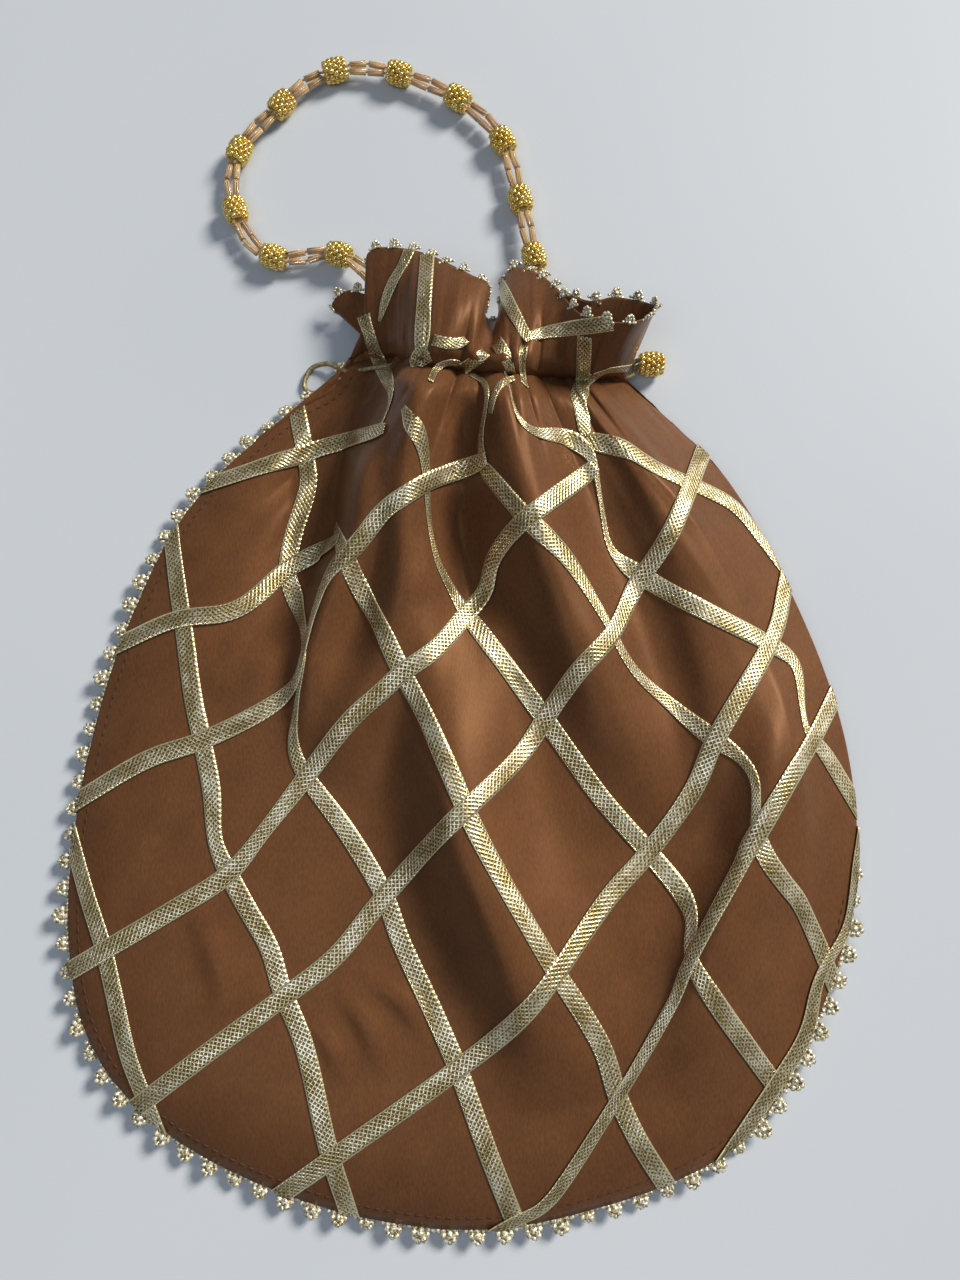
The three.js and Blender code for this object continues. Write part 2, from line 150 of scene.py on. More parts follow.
WRINKLE_DEPTH = 0.24

# Ribbons as seen: pixels along the middle, with the share of the width that shows where the cloth
# turns away. The rising set lies over the falling one.
RISING = (
    ((195, 490), (300, 455), (372, 434), (388, 428, 0.4)),
    ((122, 644), (176, 620), (229, 613), (258, 596), (285, 571), (328, 547), (341, 538, 0.4)),
    ((80, 800), (147, 760), (202, 741), (258, 714), (294, 688, 0.8), (303, 660, 0.5), (314, 618, 0.6),
     (331, 574), (355, 547), (379, 516), (400, 499), (430, 480), (478, 464), (490, 456, 0.4)),
    ((72, 970), (104, 951), (168, 913), (228, 875), (263, 833, 0.8), (305, 779), (350, 720),
     (380, 693), (404, 671), (436, 649), (467, 613), (487, 591), (494, 559), (525, 520),
     (585, 475), (598, 462, 0.4)),
    ((148, 1098), (219, 1044), (289, 993), (337, 955), (384, 897), (455, 820), (516, 760), (545, 719),
     (581, 668), (613, 632), (634, 588), (668, 538), (702, 453)),
    ((290, 1187), (336, 1155), (457, 1069), (531, 1006), (606, 900), (646, 855), (695, 787),
     (716, 738), (771, 640), (783, 591)),
    ((517, 1218, 0.7), (551, 1198, 0.7), (617, 1098, 0.6), (675, 1000, 0.6), (688, 967, 0.7),
     (744, 860, 0.8), (750, 846), (811, 741), (832, 699)),
    ((733, 1146), (774, 1084), (805, 1033), (818, 977, 0.7), (846, 926, 0.6), (856, 860, 0.6)),
)
FALLING = (
    ((75, 849), (88, 897), (104, 948), (117, 1005), (129, 1057), (145, 1098)),
    ((172, 537), (178, 586), (185, 634), (193, 695), (202, 739), (212, 790), (215, 840, 0.8),
     (228, 872), (250, 913), (270, 948), (282, 990), (305, 1047), (327, 1143), (346, 1203)),
    ((297, 407), (305, 453), (309, 484), (295, 530), (287, 569), (295, 598), (304, 625, 0.7),
     (304, 659, 0.45), (297, 707, 0.35), (297, 760, 0.8), (346, 830), (384, 894), (400, 939),
     (428, 1000), (457, 1066), (488, 1152), (514, 1218)),
    ((336, 525, 0.4), (341, 545), (355, 579), (379, 622), (399, 666), (424, 712), (445, 760),
     (480, 840), (548, 960), (574, 1000), (603, 1049), (617, 1095), (637, 1138), (660, 1175)),
    ((404, 408, 0.3), (412, 424), (421, 440, 0.9), (426, 477, 0.5), (428, 516, 0.4),
     (436, 559, 0.5), (453, 593, 0.7),
     (467, 615), (501, 659), (540, 712), (574, 760), (603, 800), (646, 849), (682, 893),
     (693, 921, 0.7), (690, 954, 0.7), (713, 998), (769, 1077)),
    ((481, 462, 0.4), (489, 474), (525, 516), (564, 555), (588, 591, 0.7), (608, 625, 0.55),
     (634, 671, 0.6),
     (671, 705, 0.7), (713, 738), (741, 757, 0.6), (756, 781, 0.5), (756, 815, 0.5), (762, 850),
     (790, 891), (797, 898), (818, 944), (835, 988)),
    ((514, 404, 0.1), (520, 422, 0.25), (536, 433, 0.5), (569, 438), (591, 455, 0.6), (596, 472, 0.3),
     (603, 516, 0.25), (610, 550, 0.4), (634, 571), (671, 593), (719, 618), (774, 647),
     (796, 665, 0.7), (802, 711, 0.4), (808, 735, 0.6), (823, 751), (851, 797)),
    ((580, 436, 0.4), (594, 442), (622, 448), (659, 470), (702, 489), (736, 508), (762, 542, 0.7)),
)
# Ends of the trellis that show on the gathers and the frill
NECK_RIBBONS = (
    ((428, 250, 0.8), (425, 295, 0.85), (422, 340, 0.8), (421, 362, 0.5)),
    ((412, 244, 0.7), (404, 264, 0.7), (392, 284, 0.7), (384, 306, 0.5), (380, 322, 0.15)),
    ((433, 340, 0.6), (455, 345, 0.6), (471, 337, 0.5)),
    ((410, 364), (432, 350)),
    ((371, 338, 0.8), (379, 362, 0.8), (392, 388, 0.8), (390, 405, 0.2), (382, 424, 0.2)),
    ((430, 382, 0.3), (438, 366, 0.4), (450, 360, 0.4), (460, 364, 0.4)),
    ((462, 369, 0.7), (487, 352, 0.7)),
    ((470, 375, 0.3), (485, 383, 0.3), (488, 398, 0.3), (484, 420, 0.3), (481, 446, 0.5), (484, 462, 0.7)),
    ((491, 414, 0.3), (495, 392, 0.4), (506, 381, 0.5), (518, 378, 0.5)),
    ((497, 342, 0.7), (506, 357, 0.7), (513, 376, 0.4)),
    ((525, 346, 0.5), (521, 362, 0.5), (524, 386, 0.6)),
    ((499, 276, 0.5), (504, 290, 0.7), (512, 310, 0.7), (525, 334, 0.6), (530, 344, 0.2)),
    ((522, 339, 0.2), (534, 335, 0.6), (574, 328, 0.8), (612, 323, 0.8), (640, 319, 0.6), (656, 311, 0.4)),
    ((585, 336, 0.8), (583, 373, 0.8)),
    ((586, 438, 0.5), (582, 415, 0.9), (577, 394, 0.9), (587, 381, 0.7), (606, 370, 0.6), (626, 368, 0.5)),
)

# The handle's route: sewn in the neck on the left, round on the table, and back in on the right
HANDLE = (
    (-19, 104.4, 2.75), (-20, 109.4, 4.9), (-22, 118, 5.9), (-26.5, 128, 5.9), (-33, 135, 5.2),
    (-40.5, 138, 4.2), (-48, 137, 3.6), (-55, 136.6, 3.6), (-61.5, 139.6, 3.6), (-66, 146, 3.6),
    (-69, 155, 3.6), (-69.5, 165, 3.6), (-65.5, 175, 3.6), (-57, 184.5, 3.6), (-48.5, 193, 3.6),
    (-37, 198, 3.6), (-23, 197, 3.6), (-4, 189, 3.6), (10, 175.5, 3.6), (15.5, 157, 3.6),
    (19, 139, 5), (23, 122, 5.9), (24, 109.4, 4.9), (24, 104.4, 2.75),
)
# The drawstring's route: from the stop bead through the channel, out in a loop and back
DRAWSTRING = (
    (52.8, 104.75, 3.7), (49, 104.75, 3.7), (45, 101.4, 3.6), (38, 101.4, 7), (28, 101.4, 10),
    (14, 101.4, 12), (0, 101.4, 12), (-14, 101.4, 10), (-25, 101.4, 7), (-33, 101.4, 4),
    (-35.6, 101.9, 3.6), (-40.1, 104.4, 2.6), (-45.1, 103.4, 1.2), (-47.1, 98.4, 0.9),
    (-44.1, 96, 1.2), (-39.1, 98, 3.2), (-35.1, 99.5, 3.6), (-20, 99.5, 3.1), (0, 99.5, 3.1),
    (20, 99.5, 3.1), (45, 99.5, 3.6), (49, 102.85, 3.7), (52.8, 102.85, 3.7),
)
STOP_BEAD = (53.3, 103.8, 3.7)


# View: pixels to the table and back

def sight(pixels):
    pixels = np.asarray(pixels, float)
    across = (pixels[:, 0] - FRAME_WIDTH / 2) / FOCAL
    rise = (FRAME_HEIGHT / 2 - pixels[:, 1]) / FOCAL
    return np.outer(across, (1, 0, 0)) + np.outer(rise, UPWARD) + FORWARD


def on_level(pixels, height):
    rays = sight(pixels)
    reach = (np.asarray(height, float) - EYE[2]) / rays[:, 2]
    return EYE + rays * reach[:, None]


def to_photo(points):
    offset = np.asarray(points, float) - EYE
    depth = offset @ FORWARD
    across = FRAME_WIDTH / 2 + FOCAL * offset[:, 0] / depth
    down = FRAME_HEIGHT / 2 - FOCAL * (offset @ UPWARD) / depth
    return np.stack((across, down), axis=1)


# Lines

def curve_through(points, per_span=16):
    """A smooth line through all the points."""
    points = np.asarray(points, float)
    ends = np.vstack((2 * points[0] - points[1], points, 2 * points[-1] - points[-2]))
    share = np.linspace(0, 1, per_span, endpoint=False)[:, None]
    spans = []
    for a, b, c, d in zip(ends, ends[1:], ends[2:], ends[3:]):
        bend = (2 * a - 5 * b + 4 * c - d) * share ** 2
        twist = (3 * b - a - 3 * c + d) * share ** 3
        spans.append(0.5 * (2 * b + (c - a) * share + bend + twist))
    return np.vstack(spans + [points[-1:]])


def lengths_along(line, used=3):
    steps = np.linalg.norm(np.diff(line[:, :used], axis=0), axis=1)
    return np.concatenate(((0,), np.cumsum(steps)))


def at_stations(line, stations, used=3):
    along = lengths_along(line, used)
    return np.stack([np.interp(stations, along, column) for column in line.T], axis=1)


def evenly(line, count, used=3):
    return at_stations(line, np.linspace(0, lengths_along(line, used)[-1], count), used)


def tangents(line):
    steps = np.gradient(line, axis=0)
    return steps / np.linalg.norm(steps, axis=1)[:, None]


def near_line(pixels, line):
    """For each pixel: its signed distance from the line (right is positive) and the nearest place."""
    best = np.full(len(pixels), 1e9)
    side = np.zeros(len(pixels))
    place = np.zeros(len(pixels))
    for i, (start, end) in enumerate(zip(line, line[1:])):
        step = end[:2] - start[:2]
        offset = pixels - start[:2]
        share = np.clip(offset @ step / (step @ step), 0, 1)
        gap = np.linalg.norm(offset - share[:, None] * step, axis=1)
        nearer = gap < best
        turn = step[0] * offset[:, 1] - step[1] * offset[:, 0]
        side[nearer] = np.sign(turn)[nearer]
        place[nearer] = i + share[nearer]
        best[nearer] = gap[nearer]
    return best, side, place


# Cloth: the front's height above the table at each pixel

COLUMNS = 241
BODY_ROWS = 120
FRILL_ROWS = 30
UNDER_ROWS = 5
seam_curve = evenly(curve_through(SEAM), COLUMNS, 2)
seam_mm = np.column_stack((seam_curve, np.full(COLUMNS, SEAM_Z)))
seam_pixels = to_photo(seam_mm)
seam_way = tangents(seam_mm)
seam_out = np.stack((seam_way[:, 1], -seam_way[:, 0], np.zeros(COLUMNS)), axis=1)
across_share = np.linspace(0, 1, COLUMNS)
neck_pixels = evenly(curve_through(NECK), COLUMNS, 2)


def bump(share, start, end, fade):
    rise = np.clip((share - start) / fade, 0, 1)
    fall = np.clip((end - share) / fade, 0, 1)
    both = np.minimum(rise, fall)
    return both * both * (3 - 2 * both)


roll = bump(across_share, ROLL[0], ROLL[1], 0.05)
rim_heights = RIM + ROLL_HEIGHT * roll
fold_lines = [(curve_through(points, 8), left, right) for points, left, right in FOLDS]


def front_height(pixels):
    edge_gap, _, edge_place = near_line(pixels, seam_pixels[::3])
    neck_gap, _, _ = near_line(pixels, neck_pixels[::12])
    rim = np.interp(edge_place * 3, np.arange(COLUMNS), rim_heights)
    inside = 1 - np.exp(-edge_gap / EDGE_REACH)
    height = RIM + (rim - RIM) * np.exp(-(edge_gap / ROLL_REACH) ** 2) + BODY_CROWN * inside
    height += NECK_CROWN * np.exp(-(neck_gap / NECK_REACH) ** 2) * inside
    for line, left, right in fold_lines:
        gap, side, place = near_line(pixels, line)
        crest = np.interp(place, np.arange(len(line)), line[:, 2])
        reach = np.where(side > 0, left, right)
        height += FOLD_DEPTH * crest * np.exp(-(gap / reach) ** 2) * np.minimum(1, edge_gap / FOLD_EDGE)
    return np.maximum(height, RIM)


def pleat(across, gap):
    """Round gathers with narrow creases beside the drawstring, and the waist that it pulls in."""
    turn = math.pi * NECK_PLEATS * across + 1.3 * np.sin(9 * across) + 0.6 * np.sin(31 * across)
    wave = np.abs(np.sin(turn)) ** 0.6 - 0.7
    reach = 20 + 10 * np.sin(17 * across + 2)
    waist = NECK_PINCH * np.exp(-(gap / PINCH_REACH) ** 2)
    sides = np.minimum(1, 4 * bump(across, 0, 1, 0.2))
    return sides * (NECK_PLEAT_DEPTH * wave * np.exp(-(gap / reach) ** 2) - waist)


waves = [(rng.uniform(4, 16), rng.uniform(0, 6.3), rng.uniform(-4, 4), rng.uniform(0.4, 1))
         for _ in range(9)]


def wrinkles(across, share):
    """Long soft creases that run from the neck towards the seam."""
    total = np.zeros(len(across))
    for count, start, drift, strength in waves:
        total += strength * np.sin(2 * math.pi * count * across + start + drift * share)
    return WRINKLE_DEPTH * total * (math.sin(math.pi * min(1, share * 1.02)) ** 1.2) * (1.15 - share)


# Meshes

def add_mesh(name, points, faces, material):
    mesh = bpy.data.meshes.new(name)
    mesh.from_pydata((np.asarray(points) * MM).tolist(), [], faces)
    mesh.materials.append(material)
    mesh.shade_smooth()
    piece = bpy.data.objects.new(name, mesh)
    bpy.context.collection.objects.link(piece)
    return piece


def grid_faces(rows, columns):
    corner = np.arange((rows - 1) * columns).reshape(rows - 1, columns)[:, :-1].ravel()
    return np.stack((corner, corner + columns, corner + columns + 1, corner + 1), axis=1).tolist()


def add_uv(piece, across, along):
    layer = piece.data.uv_layers.new(name="UVMap")
    corners = np.empty(len(piece.data.loops), dtype=np.int32)
    piece.data.loops.foreach_get("vertex_index", corners)
    places = np.stack((np.asarray(across)[corners], np.asarray(along)[corners]), axis=1)
    layer.data.foreach_set("uv", places.astype(np.float32).ravel())


def panel_uv(rows):
    return np.tile(across_share, rows), np.repeat(np.linspace(0, 1, rows), COLUMNS)


def thicken(piece, thickness, offset):
    solid = piece.modifiers.new("cloth_thickness", "SOLIDIFY")
    solid.thickness = thickness * MM
    solid.offset = offset


def place_piece(piece, slot, *nodes):
    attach(piece, "root")
    if nodes:
        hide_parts(*nodes)


# Materials

def linear(hex_colour):
    channels = [int(hex_colour[i:i + 2], 16) / 255 for i in (1, 3, 5)]
    curve = [c / 12.92 if c <= 0.04045 else ((c + 0.055) / 1.055) ** 2.4 for c in channels]
    return (*curve, 1)


def node(tree, kind, links=(), stops=(), **settings):
    """Adds a node, sets its values, colour stops and sockets, and links its inputs."""
    made = tree.nodes.new(kind)
    for key, value in settings.items():
        if key in made.inputs:
            made.inputs[key].default_value = value
        else:
            setattr(made, key, value)
    for socket, source in links:
        if isinstance(source, bpy.types.NodeSocket):
            tree.links.new(source, made.inputs[socket])
        else:
            made.inputs[socket].default_value = source
    for number, (place, colour) in enumerate(stops):
        marks = made.color_ramp.elements
        mark = marks[number] if number < len(marks) else marks.new(place)
        mark.position = place
        mark.color = linear(colour)
    return made


def new_material(name):
    material = bpy.data.materials.new(name)
    material.use_nodes = True
    tree = material.node_tree
    return material, tree, tree.nodes["Principled BSDF"]


def set_shader(shader, **values):
    for key, value in values.items():
        shader.inputs[key.replace("_", " ")].default_value = value


def per(size):
    """The noise scale, in metres of Object coordinates, for features of this size in millimetres."""
    return 1 / (size * MM)


# Polyester satin, woven and calendered: a soft broad sheen, a fine grain of threads
def satin_material():
    material, tree, shader = new_material("polyester_satin")
    place = node(tree, "ShaderNodeTexCoord").outputs["Object"]
    mottle = node(tree, "ShaderNodeTexNoise", [("Vector", place)], Scale=per(11), Detail=4)
    colour = node(tree, "ShaderNodeValToRGB", [("Fac", mottle.outputs["Fac"])],
                  stops=((0.3, "#67452D"), (0.7, "#714C31")))
    # threads are drawn 0.4 mm wide, a few times the real ones, so that they show
    stretch = node(tree, "ShaderNodeMapping", [("Vector", place)], Scale=(per(0.4), per(1.4), per(1)))
    threads = node(tree, "ShaderNodeTexNoise", [("Vector", stretch.outputs["Vector"])], Scale=1)
    grain = node(tree, "ShaderNodeValToRGB", [("Fac", threads.outputs["Fac"])],
                 stops=((0.3, "#C4C4C4"), (0.7, "#FFFFFF")))
    woven = [(0, 0.6), (6, colour.outputs["Color"]), (7, grain.outputs["Color"])]
    mixed = node(tree, "ShaderNodeMix", woven, data_type="RGBA", blend_type="MULTIPLY")
    tree.links.new(mixed.outputs[2], shader.inputs["Base Color"])
    # puckers run with the cloth from the mouth to the seam: 24 across the panel, 3 along it
    uv = node(tree, "ShaderNodeUVMap", uv_map="UVMap").outputs["UV"]
    drawn = node(tree, "ShaderNodeMapping", [("Vector", uv)], Scale=(24, 3, 1))
    puckers = node(tree, "ShaderNodeTexNoise", [("Vector", drawn.outputs["Vector"])], Scale=1, Detail=1)
    soft = node(tree, "ShaderNodeBump", [("Height", puckers.outputs["Fac"])], Strength=0.4, Distance=0.002)
    fine = [("Height", threads.outputs["Fac"]), ("Normal", soft.outputs["Normal"])]
    bumps = node(tree, "ShaderNodeBump", fine, Strength=0.12, Distance=0.0002)
    tree.links.new(bumps.outputs["Normal"], shader.inputs["Normal"])
    set_shader(shader, Roughness=0.4, Specular_IOR_Level=0.42, Specular_Tint=linear("#C89468"))
    set_shader(shader, Sheen_Weight=0.05, Sheen_Roughness=0.4, Sheen_Tint=linear("#D08C58"))
    return material


def ribbon_pattern(tree, uv):
    """Sockets of the ribbon's pattern and of its painted glints and shade, by name, worked out step by step
    from its UV map.
    """
    parts = node(tree, "ShaderNodeSeparateXYZ", [("Vector", uv)])
    # painted glints: the bright specks of this fine noise are highlights painted into the colour
    glint_place = node(tree, "ShaderNodeMapping", [("Vector", uv)], Scale=(12, 6, 1))
    glint = node(tree, "ShaderNodeTexNoise", [("Vector", glint_place.outputs["Vector"])], Scale=1, Detail=3)
    # painted light and shade: this broad noise lightens and darkens stretches of ribbon about 9 mm long
    painted_light_shade_place = node(tree, "ShaderNodeMapping", [("Vector", uv)], Scale=(0.75, 0.525, 1))
    patch = node(tree, "ShaderNodeTexNoise", [("Vector", painted_light_shade_place.outputs["Vector"])], Scale=1, Detail=1)
    # strands cross the ribbon slantwise, drawn 1 mm apart, twice the real spacing, so that they show
    slant = 2 * math.pi * RIBBON_WIDTH / (1.0 * math.sqrt(2))
    stitches = 2 * math.pi * RIBBON_WIDTH / 2.6
    found = {"across": parts.outputs["X"], "along": parts.outputs["Y"], "glint": glint.outputs["Fac"],
             "patch": patch.outputs["Fac"]}
    steps = (
        ("sum", "ADD", "across", "along"),
        ("difference", "SUBTRACT", "across", "along"),
        ("sum_turn", "MULTIPLY", "sum", slant),
        ("difference_turn", "MULTIPLY", "difference", slant),
        ("one_way", "SINE", "sum_turn", 0),
        ("other_way", "SINE", "difference_turn", 0),
        ("upper_strand", "MAXIMUM", "one_way", "other_way"),
        ("half_strand", "MULTIPLY", "upper_strand", 0.5),
        ("weave", "ADD", "half_strand", 0.5),
        ("weave_tone", "MULTIPLY", "weave", 0.45),
        # the fine noise's peaks are added to the tone as painted glints
        ("glint_above", "SUBTRACT", "glint", 0.3),
        ("glitter", "MULTIPLY", "glint_above", 0.9),
        ("sparkle", "ADD", "weave_tone", "glitter"),
        # the broad noise's painted light and shade is added to the tone
        ("patch_above", "SUBTRACT", "patch", 0.5),
        ("patch_tone", "MULTIPLY", "patch_above", 0.7),
        ("tone", "ADD", "sparkle", "patch_tone"),
        ("from_left", "SUBTRACT", "across", 0.5),
        ("from_middle", "ABSOLUTE", "from_left", 0),
        ("edge", "GREATER_THAN", "from_middle", 0.43),
        ("stitch_turn", "MULTIPLY", "along", stitches),
        ("stitch_wave", "SINE", "stitch_turn", 0),
        ("stitch_row", "LESS_THAN", "from_middle", 0.03),
        ("stitch_length", "GREATER_THAN", "stitch_wave", -0.5),
        ("stitch", "MULTIPLY", "stitch_row", "stitch_length"),
        ("stitch_tone", "MULTIPLY", "stitch", 0.7),
        ("cording", "MULTIPLY", "edge", 1.5),
        ("sewn_down", "SUBTRACT", "cording", "stitch"),
        ("ridge", "ADD", "weave", "sewn_down"),
    )
    for name, operation, first, second in steps:
        links = [(0, found.get(first, first)), (1, found.get(second, second))]
        found[name] = node(tree, "ShaderNodeMath", links, operation=operation).outputs["Value"]
    return found


# Gota: metallised strip woven on a cotton warp, with corded edges and a machine stitch down the middle
# Its colour also carries painted glints and painted patches of light and shade
def ribbon_material():
    material, tree, shader = new_material("woven_gota_ribbon")
    uv = node(tree, "ShaderNodeUVMap", uv_map="UVMap").outputs["UV"]
    pattern = ribbon_pattern(tree, uv)
    # the ramp colours the weave, and also paints the glints near-white and the shaded patches dark
    colour = node(tree, "ShaderNodeValToRGB", [("Fac", pattern["tone"])],
                  stops=((0.18, "#614D22"), (0.5, "#AE9C66"), (0.74, "#FBF6DC")))
    selvedge = [(0, pattern["edge"]), (6, colour.outputs["Color"]), (7, linear("#EDE3B8"))]
    corded = node(tree, "ShaderNodeMix", selvedge, data_type="RGBA")
    seam = [(0, pattern["stitch_tone"]), (6, corded.outputs[2]), (7, linear("#6A5530"))]
    sewn = node(tree, "ShaderNodeMix", seam, data_type="RGBA")
    tree.links.new(sewn.outputs[2], shader.inputs["Base Color"])
    bumps = node(tree, "ShaderNodeBump", [("Height", pattern["ridge"])], Strength=0.6, Distance=0.0002)
    tree.links.new(bumps.outputs["Normal"], shader.inputs["Normal"])
    set_shader(shader, Metallic=0.78, Roughness=0.33)
    return material


def speckled(name, size, detail, *stops):
    """A material whose colour follows a noise of this size; also the noise, for a bump."""
    material, tree, shader = new_material(name)
    place = node(tree, "ShaderNodeTexCoord").outputs["Object"]
    noise = node(tree, "ShaderNodeTexNoise", [("Vector", place)], Scale=per(size), Detail=detail)
    colour = node(tree, "ShaderNodeValToRGB", [("Fac", noise.outputs["Fac"])], stops=stops)
    tree.links.new(colour.outputs["Color"], shader.inputs["Base Color"])
    return material, tree, shader, noise.outputs["Fac"]


# Picot lace of gimped metal thread: its colour noise paints near-white glints and dark specks of shade over
# the knots
def lace_material():
    material, tree, shader, knots = speckled(
        "metal_thread_lace", 0.7, 2, (0.36, "#857A52"), (0.47, "#CFC6A2"), (0.58, "#FAF6E4"))
    bumps = node(tree, "ShaderNodeBump", [("Height", knots)], Strength=0.8, Distance=0.0004)
    tree.links.new(bumps.outputs["Normal"], shader.inputs["Normal"])
    set_shader(shader, Metallic=0.5, Roughness=0.32)
    return material


# Gold-plated moulded plastic: warm yellow, bright points, a little uneven
def bead_material():
    material, _, shader, _ = speckled("gold_plated_plastic", 2, 2, (0.3, "#D8B04E"), (0.7, "#F3DB8C"))
    set_shader(shader, Metallic=0.8, Roughness=0.22)
    return material


# Lined glass tubes: clear tan glass that varies from batch to batch
def bugle_material():
    material, _, shader, _ = speckled("lined_bugle_glass", 18, 1, (0.4, "#E8C692"), (0.6, "#DDB894"))
    set_shader(shader, Roughness=0.12, IOR=1.5, Transmission_Weight=0.2, Coat_Weight=0.4)
    return material


# Twisted metal-wrapped cord: greyed gold with a fine broken grain
def cord_material():
    material, tree, shader, strands = speckled(
        "metal_wrapped_cord", 0.625, 2, (0.35, "#6F6540"), (0.65, "#B5AA84"))
    bumps = node(tree, "ShaderNodeBump", [("Height", strands)], Strength=0.6, Distance=0.0003)
    tree.links.new(bumps.outputs["Normal"], shader.inputs["Normal"])
    set_shader(shader, Metallic=0.5, Roughness=0.45)
    return material


# Nylon thread: pale, thin, slightly glossy
def thread_material():
    material, _, shader, _ = speckled("nylon_thread", 0.4, 2, (0.3, "#B89E74"), (0.7, "#D9C6A0"))
    set_shader(shader, Roughness=0.5)
    return material


# Spun polyester thread: dull dark brown
def stitch_material():
    material, _, shader, _ = speckled("polyester_thread", 0.33, 2, (0.3, "#3A2416"), (0.7, "#543622"))
    set_shader(shader, Roughness=0.65)
    return material


satin = satin_material()
stitch_thread = stitch_material()
gota = ribbon_material()
lace = lace_material()
gold = bead_material()
glass = bugle_material()
wrapped_cord = cord_material()
nylon = thread_material()


# Front panel: frill, gathers, body, and the edge turned under to the seam

def mouth_edge(controls):
    line = curve_through(controls)
    share = np.maximum.accumulate(line[:, 0])
    columns = [np.interp(across_share, share, line[:, i]) for i in (1, 2, 3)]
    return on_level(np.stack(columns[:2], axis=1), columns[2])


def frill_rows(neck, mouth, bulge, gathered):
    """From the mouth down to the row above the neck, with its share of the gathers' depth."""
    rows = []
    for share in np.linspace(1, 0, FRILL_ROWS, endpoint=False):
        row = neck + (mouth - neck) * share
        row[:, 2] += bulge * math.sin(math.pi * share)
        row[:, 2] += gathered * pleat(across_share, FRILL_FADE * share)
        rows.append(row)
    return rows


def body_rows():
    rows = []
    for share in np.linspace(0, 1, BODY_ROWS) ** 1.15:
        pixels = neck_pixels + (seam_pixels - neck_pixels) * share
        height = front_height(pixels) + wrinkles(across_share, share)
        gap = np.linalg.norm(pixels - neck_pixels, axis=1) * PIXEL
        height += pleat(across_share, gap)
        rows.append(on_level(pixels, height))
    return rows


def turned_rows(edge):
    """The edge goes down and in to the seam; on the rolled stretch it goes in further."""
    inset = TURN_IN + ROLL_INSET * roll
    rows = []
    for angle in np.linspace(0, math.pi / 2, UNDER_ROWS + 1)[1:]:
        row = edge - seam_out * (inset * (1 - math.cos(angle)))[:, None]
        row[:, 2] = edge[:, 2] - (edge[:, 2] - SEAM_Z) * math.sin(angle)
        rows.append(row)
    return rows


front_body = body_rows()
front_under = turned_rows(front_body[-1])
front_mouth = mouth_edge(FRONT_MOUTH)
front_neck = on_level(neck_pixels, front_height(neck_pixels))
front_rows = frill_rows(front_neck, front_mouth, bulge=3.0, gathered=1.0) + front_body + front_under
front_points = np.vstack(front_rows)
front_faces = grid_faces(len(front_rows), COLUMNS)
front_panel = add_mesh("front_cloth", front_points, front_faces, satin)
add_uv(front_panel, *panel_uv(len(front_rows)))
thicken(front_panel, CLOTH, -1)
front_tree = BVHTree.FromPolygons(front_points.tolist(), front_faces)

# Back panel: nearly flat on the table, gathered at the neck as the front is
BACK_Z = 1.9


def back_rows():
    neck = evenly(curve_through(BACK_NECK), COLUMNS, 2)
    neck = on_level(neck[:, :2], neck[:, 2])
    edge = seam_mm.copy()
    edge[:, 2] = SEAM_Z - 0.5
    mouth = mouth_edge(BACK_MOUTH)
    rows = frill_rows(neck, mouth, bulge=0.5, gathered=0.15)
    for share in np.linspace(0, 1, 60):
        row = neck + (edge - neck) * share
        ripple = 0.25 * np.sin(40 * across_share + 9 * share) * math.sin(math.pi * share)
        row[:, 2] = neck[:, 2] + (edge[:, 2] - neck[:, 2]) * share
        row[:, 2] += (BACK_Z - 2.6) * math.sin(math.pi * share) ** 0.5 + ripple
        rows.append(row)
    return rows, mouth


back_cloth_rows, back_mouth = back_rows()
back_panel = add_mesh("back_cloth", np.vstack(back_cloth_rows),
                      grid_faces(len(back_cloth_rows), COLUMNS), satin)
add_uv(back_panel, *panel_uv(len(back_cloth_rows)))
back_panel.data.flip_normals()
thicken(back_panel, CLOTH, -1)


# Ribbons, laid on the cloth along the routes seen in the photograph

def cast(pixels):
    """Where the sight through each pixel meets the front cloth, and the cloth's normal there."""
    hits = on_level(pixels, np.full(len(pixels), RIM))
    normals = np.tile((0.0, 0.0, 1.0), (len(pixels), 1))
    for i, ray in enumerate(sight(pixels)):
        place, normal, _, _ = front_tree.ray_cast(Vector(EYE), Vector(ray).normalized())
        if place is not None:
            hits[i] = place
            normals[i] = normal if normal.z > 0 else -normal
    return hits, normals


def calm(rows, passes):
    rows = rows.copy()
    for _ in range(passes):
        rows[1:-1] = (rows[:-2] + 2 * rows[1:-1] + rows[2:]) / 4
    return rows


ACROSS = np.linspace(-1, 1, 7)
RUN_ON = 30
NEAR_SEAM = 45
RIBBON_STEP = 1.3
TRIM_REACH = 20
# A sight that lands further off than this, in millimetres, has met another fold
STRAY = 2.2


def run_on(route):
    """Carries a route on to the seam at each end that comes near it."""
    ends = np.array((2 * route[0] - route[1], 2 * route[-1] - route[-2]))
    ends[:, 2] = route[[0, -1], 2]
    gaps, _, _ = near_line(route[[0, -1], :2], seam_pixels)
    for i, near in enumerate(gaps < NEAR_SEAM):
        step = ends[i, :2] - route[-i, :2]
        ends[i, :2] = route[-i, :2] + RUN_ON * step / np.linalg.norm(step)
        if near:
            route = np.vstack((route, ends[i:])) if i else np.vstack((ends[:1], route))
    return route


def on_cloth(pixels):
    return np.array([front_tree.ray_cast(Vector(EYE), Vector(ray).normalized())[0] is not None
                     for ray in sight(pixels)])


def within(places, outline):
    """Which places lie inside a closed outline, by counting its crossings with a line to the right."""
    inside = np.zeros(len(places), dtype=bool)
    for start, end in zip(outline, np.roll(outline, -1, axis=0)):
        spans = (start[1] > places[:, 1]) != (end[1] > places[:, 1])
        rise = end[1] - start[1] if end[1] != start[1] else 1
        crossing = start[0] + (places[:, 1] - start[1]) / rise * (end[0] - start[0])
        inside ^= spans & (places[:, 0] < crossing)
    return inside


